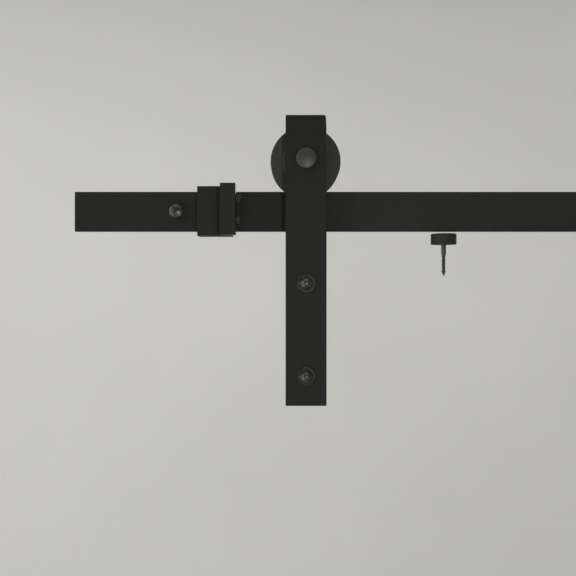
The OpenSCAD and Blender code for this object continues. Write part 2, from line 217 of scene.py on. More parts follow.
def spun(name, rings, place, segments=SEGMENTS, loop=False):
    bm = bmesh.new()
    add_spun(bm, rings, place, segments, loop)
    return finish_mesh(name, bm)


def offset_outline(points, distance):
    """The outline moved inwards by distance along its mitred corners. Outer outlines run anticlockwise,
    holes clockwise, so inwards is always to the left of the path."""
    out, n = [], len(points)
    for i in range(n):
        p, a, b = Vector(points[i]), Vector(points[i - 1]), Vector(points[(i + 1) % n])
        d0, d1 = (p - a).normalized(), (b - p).normalized()
        n0, n1 = Vector((-d0.y, d0.x)), Vector((-d1.y, d1.x))
        mitre = (n0 + n1) / max(1 + n0.dot(n1), 0.2)
        out.append(tuple(p + mitre * distance))
    return out


def add_plate(bm, outlines, depth, edge, place, steps=4):
    """A flat plate with rounded edges. outlines[0] is its outer edge and the rest are holes, in local XY;
    the plate fills local Z from 0 to depth."""
    levels = []
    for k in range(steps + 1):
        a = math.pi / 2 * k / steps
        levels.append((edge * (1 - math.sin(a)), edge * (1 - math.cos(a))))
    levels += [(inset, depth - z) for inset, z in reversed(levels)]
    caps = []
    for outline in outlines:
        rows = []
        for inset, z in levels:
            ring = offset_outline(outline, inset)
            rows.append([bm.verts.new(place @ Vector((x, y, z))) for x, y in ring])
        for low, high in zip(rows, rows[1:]):
            for k in range(len(low)):
                j = (k + 1) % len(low)
                bm.faces.new((low[k], low[j], high[j], high[k]))
        caps.append((rows[0], rows[-1]))
    for end in (0, 1):
        loops = [cap[end] for cap in caps]
        flat = [v for loop in loops for v in loop]
        polygons = [[Vector(p).to_3d() for p in outline] for outline in outlines]
        for tri in geometry.tessellate_polygon(polygons):
            bm.faces.new([flat[i] for i in tri])


def plate(name, outlines, depth, edge, place):
    bm = bmesh.new()
    add_plate(bm, outlines, depth, edge, place)
    return finish_mesh(name, bm)


def circle(cx, cy, r, steps, clockwise=False):
    points = arc(cx, cy, r, 0, 360, steps)[:-1]
    return points[::-1] if clockwise else points


def rectangle(x0, y0, x1, y1):
    return [(x0, y0), (x1, y0), (x1, y1), (x0, y1)]


def combined(name, solids, cutters=()):
    """Joins closed bmeshes into one solid, then cuts the cutters out of it."""
    tools = []
    for bm in [*solids, *cutters]:
        bmesh.ops.recalc_face_normals(bm, faces=bm.faces)
        mesh = bpy.data.meshes.new("tool")
        bm.to_mesh(mesh)
        bm.free()
        tools.append(bpy.data.objects.new("tool", mesh))
        bpy.context.scene.collection.objects.link(tools[-1])
    base = tools[0]
    for i, tool in enumerate(tools[1:], 1):
        step = base.modifiers.new(f"step_{i}", "BOOLEAN")
        step.operation = "UNION" if i < len(solids) else "DIFFERENCE"
        step.solver = "EXACT"
        step.object = tool
    depsgraph = bpy.context.evaluated_depsgraph_get()
    result = bmesh.new()
    result.from_mesh(base.evaluated_get(depsgraph).to_mesh())
    for tool in tools:
        bpy.data.objects.remove(tool)
    return finish_mesh(name, result)


def along_y(x, y, z):
    """Local X to frame X, local Y down, local Z to frame Y."""
    return Matrix.Translation((x, y, z)) @ Matrix.Rotation(-math.pi / 2, 4, "X")


def along_x(x, y, z):
    """Local X to frame Y, local Y to frame Z, local Z to frame X."""
    return Matrix.Translation((x, y, z)) @ Matrix(((0, 0, 1, 0), (1, 0, 0, 0), (0, 1, 0, 0), (0, 0, 0, 1)))


def facing_room(x, y, z):
    """Local X to frame X, local Y to frame Z, local Z out into the room."""
    return Matrix.Translation((x, y, z)) @ Matrix.Rotation(math.pi / 2, 4, "X")


def straight(x, y, z):
    """Local axes as the frame's."""
    return Matrix.Translation((x, y, z))


def hexagon(across_flats, first_corner=0.0):
    """Radius of a hexagon's side as a function of the angle."""
    sector = math.pi / 3

    def radius(a):
        return across_flats / 2 / math.cos((a - first_corner) % sector - sector / 2)

    return radius


def rounded_hexagon(across_flats, first_corner, corner):
    """The same with its six corners eased."""
    exact = hexagon(across_flats, first_corner)
    return lambda a: min(exact(a), across_flats / 2 / math.cos(math.pi / 6) - corner)


def thread(radius, depth, pitch, start, end, per_pitch=8, fade=1.5):
    """Rings of a right-hand helical thread from start to end, fading in and out over fade pitches."""
    count = max(int((end - start) / pitch * per_pitch), 2)
    rings = []
    for i in range(count + 1):
        z = start + (end - start) * i / count
        edge = min((z - start), (end - z)) / (fade * pitch)
        cut = depth * min(max(edge, 0), 1)

        def ridge(a, z=z, cut=cut):
            phase = ((z / pitch - a / TAU) % 1.0) * 2 - 1
            shape = min(max((abs(phase) - 0.12) / 0.62, 0), 1)
            return radius - cut * shape

        rings.append((ridge, z))
    return rings


# ---------------------------------------------------------------- materials
def node_tree(name):
    material = bpy.data.materials.new(name)
    material.use_nodes = True
    nodes, links = material.node_tree.nodes, material.node_tree.links
    return material, nodes, links, nodes["Principled BSDF"]


def noise(nodes, links, coords, scale, detail=3.0, roughness=0.55):
    n = nodes.new("ShaderNodeTexNoise")
    n.inputs["Scale"].default_value = scale
    n.inputs["Detail"].default_value = detail
    n.inputs["Roughness"].default_value = roughness
    links.new(coords, n.inputs["Vector"])
    return n.outputs["Fac"]


def spread(nodes, links, value, low, high, source_low=0.3, source_high=0.7):
    m = nodes.new("ShaderNodeMapRange")
    m.inputs["From Min"].default_value = source_low
    m.inputs["From Max"].default_value = source_high
    m.inputs["To Min"].default_value = low
    m.inputs["To Max"].default_value = high
    links.new(value, m.inputs["Value"])
    return m.outputs["Result"]


def maths(nodes, links, operation, a, b):
    m = nodes.new("ShaderNodeMath")
    m.operation = operation
    for socket, value in zip(m.inputs, (a, b)):
        if isinstance(value, (int, float)):
            socket.default_value = value
        else:
            links.new(value, socket)
    return m.outputs[0]


def mix_colour(nodes, links, fac, a, b):
    m = nodes.new("ShaderNodeMix")
    m.data_type = "RGBA"
    for socket, value in ((m.inputs["Factor"], fac), (m.inputs[MIX_A], a), (m.inputs[MIX_B], b)):
        if isinstance(value, tuple):
            socket.default_value = (*value, 1)
        elif isinstance(value, float):
            socket.default_value = value
        else:
            links.new(value, socket)
    return m.outputs[MIX_RESULT]


def scaled_colour(nodes, links, colour, factor):
    m = nodes.new("ShaderNodeMix")
    m.data_type = "RGBA"
    m.blend_type = "MULTIPLY"
    m.inputs["Factor"].default_value = 1.0
    links.new(colour, m.inputs[MIX_A])
    links.new(factor, m.inputs[MIX_B])
    return m.outputs[MIX_RESULT]


def bump(nodes, links, height, strength, distance, below=None):
    b = nodes.new("ShaderNodeBump")
    b.inputs["Strength"].default_value = strength
    b.inputs["Distance"].default_value = distance
    links.new(height, b.inputs["Height"])
    if below:
        links.new(below, b.inputs["Normal"])
    return b.outputs["Normal"]


def coated(name, dark, light, edge_highlight_shade_rub, rough, grain_scale, grain, specular, coarse=0.3):
    """A black coating: two close tones in broad patches, a fine grain, and convex edges rubbed a little
    smoother
    and painted towards the edge colour: painted highlight where it is lighter, painted shade where it is
    darker."""
    material, nodes, links, shader = node_tree(name)
    coords = nodes.new("ShaderNodeTexCoord").outputs["Object"]
    patches = noise(nodes, links, coords, 9.0, 4.0)
    grain_value = noise(nodes, links, coords, grain_scale, 2.0, 0.6)
    peel = noise(nodes, links, coords, grain_scale * 0.22, 2.0)
    tone = mix_colour(nodes, links, spread(nodes, links, patches, 0.0, 1.0), dark, light)
    speck = spread(nodes, links, grain_value, 0.82, 1.18)
    grained = scaled_colour(nodes, links, tone, speck)
    # Painted light: convex edges mix towards the edge colour. This is a painted edge highlight on coats whose
    # edge colour is lighter and painted edge shade where it is darker, broken up by noise like wear.
    edge_light_shade_wear = nodes.new("ShaderNodeAttribute")
    edge_light_shade_wear.attribute_name = "painted_edge_light_shade_and_wear"
    edge_light_shade_worn = maths(nodes, links, "MULTIPLY", edge_light_shade_wear.outputs["Fac"],
                 spread(nodes, links, noise(nodes, links, coords, 120.0, 4.0), 0.25, 1.0, 0.35, 0.6))
    links.new(mix_colour(nodes, links, edge_light_shade_worn, grained, edge_highlight_shade_rub), shader.inputs["Base Color"])
    rough_value = spread(nodes, links, peel, rough - 0.05, rough + 0.06)
    links.new(maths(nodes, links, "SUBTRACT", rough_value, maths(nodes, links, "MULTIPLY", edge_light_shade_worn, 0.08)),
              shader.inputs["Roughness"])
    soft = bump(nodes, links, peel, coarse, 0.00006)
    links.new(bump(nodes, links, grain_value, grain, 0.00003, soft), shader.inputs["Normal"])
    shader.inputs["Specular IOR Level"].default_value = specular
    return material


def turned_metal(name, dark, light, rough, axis_point, metallic, ring_scale=2600.0, specular=0.5):
    """A lathe-turned surface of two close tones, with fine rings about the axis along Y through
    axis_point."""
    material, nodes, links, shader = node_tree(name)
    coords = nodes.new("ShaderNodeTexCoord").outputs["Object"]
    shift = nodes.new("ShaderNodeVectorMath")
    shift.operation = "SUBTRACT"
    links.new(coords, shift.inputs[0])
    shift.inputs[1].default_value = axis_point
    flat = nodes.new("ShaderNodeVectorMath")
    flat.operation = "MULTIPLY"
    flat.inputs[1].default_value = (1, 0, 1)
    links.new(shift.outputs[0], flat.inputs[0])
    length = nodes.new("ShaderNodeVectorMath")
    length.operation = "LENGTH"
    links.new(flat.outputs[0], length.inputs[0])
    split = nodes.new("ShaderNodeSeparateXYZ")
    links.new(coords, split.inputs[0])
    rings_at = nodes.new("ShaderNodeCombineXYZ")
    links.new(length.outputs["Value"], rings_at.inputs[0])
    links.new(split.outputs[1], rings_at.inputs[1])
    rings = noise(nodes, links, rings_at.outputs[0], ring_scale, 2.0, 0.7)
    patches = noise(nodes, links, coords, 22.0, 4.0)
    grain_value = noise(nodes, links, coords, 1900.0, 2.0)
    tones = mix_colour(nodes, links, spread(nodes, links, patches, 0.0, 1.0), dark, light)
    streaks = spread(nodes, links, rings, 0.86, 1.14)
    links.new(scaled_colour(nodes, links, tones, streaks), shader.inputs["Base Color"])
    links.new(spread(nodes, links, rings, rough - 0.06, rough + 0.08), shader.inputs["Roughness"])
    fine = bump(nodes, links, grain_value, 0.12, 0.00002)
    links.new(bump(nodes, links, rings, 0.22, 0.00003, fine), shader.inputs["Normal"])
    shader.inputs["Metallic"].default_value = metallic
    shader.inputs["Specular IOR Level"].default_value = specular
    return material


def backdrop_material():
    material, nodes, links, shader = node_tree("pale_backdrop")
    coords = nodes.new("ShaderNodeTexCoord").outputs["Object"]
    cloud = noise(nodes, links, coords, 0.7, 3.0)
    tone = mix_colour(nodes, links, spread(nodes, links, cloud, 0.0, 1.0),
                      (0.79, 0.785, 0.76), (0.81, 0.805, 0.78))
    links.new(tone, shader.inputs["Base Color"])
    fine = noise(nodes, links, coords, 160.0, 3.0)
    links.new(spread(nodes, links, fine, 0.85, 0.95), shader.inputs["Roughness"])
    links.new(bump(nodes, links, fine, 0.05, 0.0004), shader.inputs["Normal"])
    shader.inputs["Specular IOR Level"].default_value = 0.2
    return material


# Edge colours paint edge light. On the fasteners, washers and rubber they are lighter than the coat, a
# painted highlight. On the track and disc coats they are darker, painted shade. On the straps they are near
# the coat's own tone.
POWDER = coated(
    "black_powder_coat", dark=(0.0098, 0.0098, 0.0089), light=(0.0112, 0.0112, 0.0101),
    edge_highlight_shade_rub=(0.0105, 0.0105, 0.0098), rough=0.54, grain_scale=2400.0, grain=0.35, specular=0.06)
# Painted light: the same powder coat as the straps, set lighter on the rail, standoffs and stops to stand in
# for the light falling on them.
LIT_TRACK_COAT = coated(
    "black_track_coat_painted_lighter", dark=(0.0124, 0.0124, 0.0113), light=(0.0141, 0.0141, 0.0128),
    edge_highlight_shade_rub=(0.0115, 0.0115, 0.0107), rough=0.54, grain_scale=2400.0, grain=0.35, specular=0.06)
# Painted light: the same powder coat, set lighter still on the discs to stand in for the light falling on
# them.
LIT_DISC_COAT = coated(
    "black_disc_coat_painted_lighter", dark=(0.0152, 0.0152, 0.0138), light=(0.0174, 0.0174, 0.0158),
    edge_highlight_shade_rub=(0.0130, 0.0130, 0.0121), rough=0.50, grain_scale=2400.0, grain=0.3, specular=0.06)
WASHER_COAT = coated(
    "black_washer_coat", dark=(0.0086, 0.0086, 0.0080), light=(0.0103, 0.0103, 0.0096),
    edge_highlight_shade_rub=(0.0110, 0.0110, 0.0103), rough=0.44, grain_scale=2000.0, grain=0.2, specular=0.14)
FASTENER = coated(
    "black_fastener_coat", dark=(0.0090, 0.0090, 0.0085), light=(0.0112, 0.0112, 0.0106),
    edge_highlight_shade_rub=(0.016, 0.016, 0.015), rough=0.29, grain_scale=1700.0, grain=0.1, specular=0.40, coarse=0.12)
AXLE_COAT = coated(
    "black_axle_coat", dark=(0.0101, 0.0101, 0.0096), light=(0.0119, 0.0119, 0.0112),
    edge_highlight_shade_rub=(0.016, 0.016, 0.015), rough=0.47, grain_scale=1700.0, grain=0.12, specular=0.42, coarse=0.15)
RUBBER = coated(
    "bumper_rubber_black", dark=(0.0125, 0.0125, 0.0122), light=(0.0155, 0.0155, 0.0151),
    edge_highlight_shade_rub=(0.020, 0.020, 0.0195), rough=0.62, grain_scale=3000.0, grain=0.5, specular=0.2, coarse=0.5)
WHEEL_COAT = {
    s: turned_metal(f"{s}_wheel_coat", (0.0225, 0.0225, 0.0212), (0.0262, 0.0262, 0.0247), rough=0.46,
                    axis_point=tuple(centre(f"{s}_wheel")), metallic=0.0, ring_scale=1500.0, specular=0.1)
    for s in SIDES
}
STEEL = {
    s: turned_metal(f"{s}_bearing_steel", (0.55, 0.555, 0.57), (0.62, 0.625, 0.64), rough=0.27,
                    axis_point=tuple(centre(f"{s}_wheel")), metallic=1.0)
    for s in SIDES
}
BRASS = {
    s: turned_metal(f"{s}_cage_brass", (0.58, 0.40, 0.16), (0.66, 0.47, 0.2), rough=0.36,
                    axis_point=tuple(centre(f"{s}_wheel")), metallic=1.0)
    for s in SIDES
}


def put(obj, body, nodes, material):
    """Gives a piece its material and body, and hides the CAD nodes that it stands for."""
    obj.data.materials.clear()
    obj.data.materials.append(material)
    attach(obj, body)
    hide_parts(*nodes)


def dress(node, material):
    """Keeps a CAD node's own shape and gives it a material."""
    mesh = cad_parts[node].data
    mesh.materials.clear()
    mesh.materials.append(material)


# ---------------------------------------------------------------- rail and wall fixings
def build_rail():
    """Flat bar with a hole at each wall fixing."""
    edge = soften(rectangle(RAIL_LOW.x, RAIL_LOW.z, RAIL_HIGH.x, RAIL_HIGH.z), 0.4 * MM, 3)
    holes = [circle(centre(f"standoff_{i}").x, 0, HOLE_R, SMALL_SEGMENTS, clockwise=True)
             for i in FIXINGS]
    rail = plate("rail", [edge] + holes, RAIL_T, RAIL_EDGE, facing_room(0, RAIL_HIGH.y, 0))
    put(rail, "track", ["track_rail"], LIT_TRACK_COAT)


def build_standoff(i):
    """Turned sleeve between the rail and the wall."""
    low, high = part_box(f"standoff_{i}")
    length, outer = high.y - low.y, (high.x - low.x) / 2
    section = [(HOLE_R, 0), (outer, 0), (outer, length), (HOLE_R, length)]
    rings = soften(section, [0.3 * MM, 0.9 * MM, 0.9 * MM, 0.3 * MM])
    place = along_y(centre(f"standoff_{i}").x, low.y, 0)
    piece = spun(f"wall_standoff_{i}", rings, place, RING_SEGMENTS, loop=True)
    put(piece, "track", [f"standoff_{i}"], LIT_TRACK_COAT)


def washer_rings(outer, inner, thickness):
    """A plain washer's section, with its front outer edge the roundest."""
    section = [(inner, 0), (outer, 0), (outer, thickness), (inner, thickness)]
    return soften(section, [0.25 * MM, 0.5 * MM, 0.2 * MM, 0.15 * MM])


def build_lag(i):
    """Lag screw with a crowned hexagon head, and the washer under it."""
    x = centre(f"standoff_{i}").x
    head_y = RAIL_FRONT - WASHER_T
    top_y = head_y - LAG_HEAD_H
    side = rounded_hexagon(LAG_AF, math.pi / 2, 0.25 * MM)
    ease = 0.35 * MM

    def crown(r):
        return LAG_CROWN_R - math.sqrt(LAG_CROWN_R ** 2 - r ** 2)

    # The crown's round middle, radii in mm, before its rings take the hexagon's shape
    rings = [(r * MM, crown(r * MM)) for r in (0.4, 1.5, 3.0, 4.4, 5.4)]
    for f in (0.90, 0.95):
        rings.append((lambda a, f=f: side(a) * f, lambda a, f=f: crown(side(a) * f)))
    for k in range(4):
        t = math.pi / 2 * k / 3
        rings.append((lambda a, t=t: side(a) - ease * (1 - math.sin(t)),
                      lambda a, t=t: crown(side(a) - ease) + ease * (1 - math.cos(t))))
    rings += [(side, LAG_HEAD_H - 0.3 * MM), (lambda a: side(a) - 0.3 * MM, LAG_HEAD_H)]
    rings += [(M8_NECK_R + 0.5 * MM, LAG_HEAD_H), (M8_NECK_R, LAG_HEAD_H + 0.4 * MM)]
    # Heights on the screw's axis: the wall plane is at y = 0
    wall = -top_y
    rings += [(M8_NECK_R, wall - 0.2 * MM), (M8_R, wall)]
    rings += [(M8_R, wall + 11.6 * MM), (M8_NECK_R, wall + 12 * MM)]
    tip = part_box("lag_screws")[1].y - top_y
    rings += thread(M8_NECK_R, LAG_THREAD_DEPTH, LAG_PITCH, wall + 12.2 * MM, tip - 6 * MM, per_pitch=10)
    root = M8_NECK_R - LAG_THREAD_DEPTH
    rings += [(root, tip - 5.8 * MM), (root * 0.72, tip - 3.4 * MM)]
    rings += [(root * 0.36, tip - 1.4 * MM), (0.15 * MM, tip)]
    piece = spun(f"lag_screw_{i}", rings, along_y(x, top_y, 0), SMALL_SEGMENTS)
    put(piece, "track", ["lag_screws"], FASTENER)
    ring = spun(f"lag_washer_{i}", washer_rings(WASHER_R, WASHER_HOLE_R, WASHER_T),
                along_y(x, head_y, 0), RING_SEGMENTS, loop=True)
    put(ring, "track", ["lag_washers"], WASHER_COAT)


# ---------------------------------------------------------------- end stops
def build_stop(side):
    """Clamp block round the rail, neck and front bar as one casting, drilled for its screws
    and bumpers."""
    low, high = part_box(f"{side}_stop")
    outer_x = low.x if side == "left" else high.x
    block_y = (RAIL_FRONT - STOP_BLOCK_FRONT, high.y)
    bar_back, half_bar = low.y + STOP_BAR_T, (high.z - low.z) / 2

    def span(a, b):
        return (outer_x + a, outer_x + b) if side == "left" else (outer_x - b, outer_x - a)

    block = bmesh.new()
    outline = rectangle(block_y[0], -STOP_BLOCK_HALF_H, block_y[1], STOP_BLOCK_HALF_H)
    outline = soften(outline, STOP_CORNER_R, 5)
    slot = rectangle(RAIL_LOW.y - STOP_SLOT_GAP, RAIL_LOW.z - STOP_SLOT_GAP,
                     RAIL_HIGH.y + STOP_SLOT_GAP, RAIL_HIGH.z + STOP_SLOT_GAP)
    slot = soften(slot, 0.5 * MM, 3)[::-1]
    block_x = span(0, STOP_BLOCK_W)
    add_plate(block, [outline, slot], STOP_BLOCK_W, STOP_BLOCK_EDGE, along_x(block_x[0], 0, 0))
    bar = bmesh.new()
    bar_x = span(STOP_BAR_START, STOP_BAR_START + STOP_BAR_W)
    outline = soften(rectangle(bar_x[0], -half_bar, bar_x[1], half_bar), STOP_CORNER_R, 5)
    add_plate(bar, [outline], STOP_BAR_T, STOP_BAR_EDGE, facing_room(0, bar_back, 0))
    neck = bmesh.new()
    neck_x = span(STOP_BAR_START, STOP_BAR_START + STOP_NECK_W)
    outline = rectangle(neck_x[0] + 0.6 * MM, -STOP_NECK_HALF_H, neck_x[1], STOP_NECK_HALF_H)
    sunk = 2 * MM
    add_plate(neck, [soften(outline, 2 * MM, 4)], block_y[0] - bar_back + 2 * sunk, 0.1 * MM,
              facing_room(0, block_y[0] + sunk, 0))
    cutters = []
    screw_x = sum(block_x) / 2
    drill_in, drill_out = 7.5 * MM, 1 * MM
    for level, z in (("lower", -STOP_HOLE_Z), ("upper", STOP_HOLE_Z)):
        hole, hole_r = bmesh.new(), SET_SCREW_R + FIT
        add_spun(hole, [(hole_r, 0), (hole_r, 12 * MM)], along_y(screw_x, RAIL_MID_Y, z))
        bumper_y = centre(f"{side}_stop_{level}_bumper").y
        stem, stem_r = bmesh.new(), BUMPER_STEM_R + FIT
        stem_x = bar_x[1] - drill_in if side == "left" else bar_x[0] - drill_out
        add_spun(stem, [(stem_r, 0), (stem_r, drill_in + drill_out)], along_x(stem_x, bumper_y, z))
        cutters += [hole, stem]
    piece = combined(f"{side}_end_stop", [block, bar, neck], cutters)
    put(piece, "track", [f"{side}_stop"], LIT_TRACK_COAT)


def build_bumper(side, level):
    """Rubber button with a rounded nose and a stem in the bar."""
    low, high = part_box(f"{side}_stop_{level}_bumper")
    mid = (low + high) / 2
    radius, total = (high.z - low.z) / 2, high.x - low.x
    section = [(0.02 * MM, 0), (BUMPER_STEM_R, 0), (BUMPER_STEM_R, BUMPER_STEM_L), (radius, BUMPER_STEM_L),
               (radius, total - 0.55 * MM), (radius * 0.55, total - 0.12 * MM), (0.02 * MM, total)]
    rings = soften(section, [0, 0.4 * MM, 0.1 * MM, 0.25 * MM, 0.9 * MM, 1.2 * MM, 0], 5, closed=False)
    place = along_x(low.x, mid.y, mid.z)
    if side == "right":
        place = straight(high.x, mid.y, mid.z) @ Matrix.Rotation(math.pi, 4, "Z") @ along_x(0, 0, 0)
    piece = spun(f"{side}_{level}_bumper", rings, place, SMALL_SEGMENTS)
    put(piece, "track", [f"{side}_stop_{level}_bumper"], RUBBER)


def build_set_screws(side):
    """Socket set screws: cup point on the rail, hexagon socket at the back."""
    low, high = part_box(f"{side}_stop_set_screws")
    x, length, r = (low.x + high.x) / 2, high.y - low.y, SET_SCREW_R
    socket, depth = hexagon(3 * MM), 2.4 * MM
    for level, z in (("upper", high.z - r), ("lower", low.z + r)):
        rings = [(0.02 * MM, 0.5 * MM), (1.2 * MM, 0.05 * MM), (1.6 * MM, 0), (2.1 * MM, 0.05 * MM)]
        rings += thread(r, 0.35 * MM, 1 * MM, 0.9 * MM, length - 0.4 * MM, fade=0.7)
        rings += [(r - 0.35 * MM, length), (1.9 * MM, length), (socket, length - 0.1 * MM),
                  (socket, length - depth), (0.02 * MM, length - depth - 0.4 * MM)]
        piece = spun(f"{side}_{level}_set_screw", rings, along_y(x, low.y, z), SMALL_SEGMENTS)
        put(piece, "track", [f"{side}_stop_set_screws"], FASTENER)


# ---------------------------------------------------------------- hangers
def door_bolt_z(side, level):
    """Height of a door bolt's axis, from the washers' box."""
    low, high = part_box(f"{side}_door_washers")
    return high.z - WASHER_R if level == "upper" else low.z + WASHER_R


def build_strap(side):
    """A flat bar bent over the wheel, with drilled holes for the axle and the door bolts."""
    low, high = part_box(f"{side}_strap")
    axle = centre(f"{side}_wheel")
    bend_r = (high.y - low.y) / 2
    bend_z = high.z - bend_r
    inner_r = bend_r - STRAP_T
    rear_end = axle.z - REAR_LEG_DROP
    mid_y = (low.y + high.y) / 2
    outline = [(low.y, low.z), (low.y + STRAP_T, low.z)]
    outline += arc(mid_y, bend_z, inner_r, 180, 0, 40)
    outline += [(high.y - STRAP_T, rear_end), (high.y, rear_end)]
    outline += arc(mid_y, bend_z, bend_r, 0, 180, 48)
    radii = [STRAP_END_R if z in (low.z, rear_end) else 0.0 for _, z in outline]
    body = bmesh.new()
    add_plate(body, [soften(outline, radii, 4)], high.x - low.x, STRAP_EDGE, along_x(low.x, 0, 0))
    drills = [(AXLE_R + FIT, 2 * bend_r, axle.z)]
    drills += [(WASHER_HOLE_R, STRAP_T, door_bolt_z(side, level)) for level in ("lower", "upper")]
    cutters = []
    for r, depth, z in drills:
        cutters.append(bmesh.new())
        add_spun(cutters[-1], [(r, 0), (r, depth + 4 * MM)], along_y(axle.x, low.y - 2 * MM, z))
    piece = combined(f"{side}_hanger_strap", [body], cutters)
    put(piece, f"{side}_hanger", [f"{side}_strap"], POWDER)


def build_axle(side):
    """Axle bolt with a round crowned head."""
    low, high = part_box(f"{side}_axle_bolt")
    axle = centre(f"{side}_wheel")
    head_r = (high.x - low.x) / 2
    strap_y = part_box(f"{side}_strap")[0].y
    head_l, total = strap_y - low.y, high.y - low.y
    ease = 0.7 * MM
    crown_r = (head_r ** 2 + AXLE_CROWN_H ** 2) / (2 * AXLE_CROWN_H)
    rings = []
    steps, inner_r = 14, 0.1 * MM
    for k in range(steps + 1):
        r = inner_r + (head_r - ease - inner_r) * k / steps
        rings.append((r, crown_r - math.sqrt(crown_r ** 2 - r ** 2)))
    rim_h = crown_r - math.sqrt(crown_r ** 2 - (head_r - ease) ** 2)
    for k in range(1, 7):
        t = math.pi / 2 * k / 6
        rings.append((head_r - ease * (1 - math.sin(t)), rim_h + ease * (1 - math.cos(t))))
    rings += [(head_r, head_l - 0.3 * MM), (head_r - 0.3 * MM, head_l), (AXLE_R + 0.3 * MM, head_l)]
    rings += [(AXLE_R, head_l + 0.3 * MM), (AXLE_R, total - 10.2 * MM)]
    rings += thread(AXLE_R, 0.75 * MM, AXLE_PITCH, total - 10 * MM, total - 0.8 * MM, fade=0.8)
    rings += [(AXLE_R - 1.0 * MM, total), (inner_r, total)]
    piece = spun(f"{side}_axle_bolt_round_head", rings, along_y(axle.x, low.y, axle.z), RING_SEGMENTS)
    put(piece, f"{side}_hanger", [f"{side}_axle_bolt"], AXLE_COAT)


def build_axle_washer(side):
    low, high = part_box(f"{side}_axle_washer")
    axle = centre(f"{side}_wheel")
    rings = washer_rings((high.x - low.x) / 2, AXLE_R + FIT, high.y - low.y)
    piece = spun(f"{side}_axle_plain_washer", rings, along_y(axle.x, low.y, axle.z), RING_SEGMENTS, loop=True)
    put(piece, f"{side}_hanger", [f"{side}_axle_washer"], WASHER_COAT)


def build_axle_nut(side):
    """Hexagon nut, chamfered on both sides."""
    low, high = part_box(f"{side}_axle_nut")
    axle = centre(f"{side}_wheel")
    height, half = high.y - low.y, AXLE_NUT_AF / 2
    flats = rounded_hexagon(AXLE_NUT_AF, math.pi / 2, 0.3 * MM)

    def chamfer(a):
        return max(flats(a) - half, 0) * 0.6 + 0.1 * MM

    bore = AXLE_R + FIT
    rings = [
        (bore + 0.4 * MM, 0), (half - 0.3 * MM, 0), (half - 0.1 * MM, 0.02 * MM), (flats, chamfer),
        (lambda a: flats(a), lambda a: chamfer(a) + 0.25 * MM), (flats, height / 2),
        (flats, lambda a: height - chamfer(a) - 0.25 * MM), (flats, lambda a: height - chamfer(a)),
        (half - 0.1 * MM, height - 0.02 * MM), (half - 0.3 * MM, height), (bore + 0.4 * MM, height),
        (bore, height - 0.4 * MM), (bore, 0.4 * MM),
    ]
    piece = spun(f"{side}_axle_hex_nut", rings, along_y(axle.x, low.y, axle.z), SEGMENTS, loop=True)
    put(piece, f"{side}_hanger", [f"{side}_axle_nut"], FASTENER)


def build_bushing(side, end):
    """Turned sleeve with a thin nose towards the bearing."""
    node = f"{side}_{end}_bushing"
    low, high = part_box(node)
    axle = centre(f"{side}_wheel")
    length, bore, outer = high.y - low.y, AXLE_R + FIT, (high.x - low.x) / 2
    nose_r, nose_l = 7.05 * MM, 1 * MM
    section = [(bore, 0), (nose_r, 0), (nose_r, nose_l), (outer, nose_l), (outer, length), (bore, length)]
    rings = soften(section, [0.2 * MM, 0.2 * MM, 0.1 * MM, 0.5 * MM, 0.5 * MM, 0.2 * MM])
    place = along_y(axle.x, low.y, axle.z)
    if end == "front":
        place = facing_room(axle.x, high.y, axle.z)
    piece = spun(f"{side}_{end}_sleeve", rings, place, RING_SEGMENTS, loop=True)
    put(piece, f"{side}_hanger", [node], STEEL[side])


def build_door_bolt(side, level):
    """Hexagon bolt with a domed top, and the washer under its head."""
    x, z = centre(f"{side}_wheel").x, door_bolt_z(side, level)
    strap_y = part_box(f"{side}_strap")[0].y
    head_y = strap_y - WASHER_T
    hex_top = head_y - BOLT_HEX_H
    side_r = rounded_hexagon(BOLT_AF, 0.0, 0.2 * MM)
    ease = 0.3 * MM

    def chamfer(r):
        return BOLT_CHAMFER_SINK - math.sqrt(BOLT_CHAMFER_R ** 2 - r ** 2)

    rings = []
    for k in range(13):
        t = math.radians(1 + 83 * k / 12)
        rings.append((BOLT_DOME_R * math.sin(t), BOLT_DOME_SINK - BOLT_DOME_R * math.cos(t)))
    meet = BOLT_DOME_R + 0.12 * MM
    rings.append((meet, chamfer(meet)))
    for k in range(4):
        t = math.pi / 2 * k / 3
        rings.append((lambda a, t=t: max(side_r(a) - ease * (1 - math.sin(t)), meet),
                      lambda a, t=t: chamfer(side_r(a) - ease) + ease * (1 - math.cos(t))))
    rings += [(side_r, BOLT_HEX_H - 0.3 * MM), (lambda a: side_r(a) - 0.3 * MM, BOLT_HEX_H)]
    rings += [(M8_NECK_R + 0.4 * MM, BOLT_HEX_H), (M8_NECK_R, BOLT_HEX_H + 0.3 * MM)]
    # Heights on the bolt's axis: where it leaves the strap's back, then its tip
    inside = strap_y + STRAP_T - hex_top
    rings += [(M8_NECK_R, inside - 0.1 * MM), (M8_R, inside)]
    rings += [(M8_R, inside + 29.6 * MM), (M8_NECK_R, inside + 30 * MM)]
    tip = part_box(f"{side}_door_bolts")[1].y - hex_top
    rings += thread(M8_NECK_R, BOLT_THREAD_DEPTH, BOLT_PITCH, inside + 30.2 * MM, tip - 0.7 * MM, fade=1.0)
    rings += [(M8_NECK_R - 0.8 * MM, tip), (0.1 * MM, tip)]
    piece = spun(f"{side}_{level}_door_bolt", rings, along_y(x, hex_top, z), SMALL_SEGMENTS)
    put(piece, f"{side}_hanger", [f"{side}_door_bolts"], FASTENER)
    ring = spun(f"{side}_{level}_door_washer", washer_rings(WASHER_R, WASHER_HOLE_R, WASHER_T),
                along_y(x, head_y, z), RING_SEGMENTS, loop=True)
    put(ring, f"{side}_hanger", [f"{side}_door_washers"], WASHER_COAT)


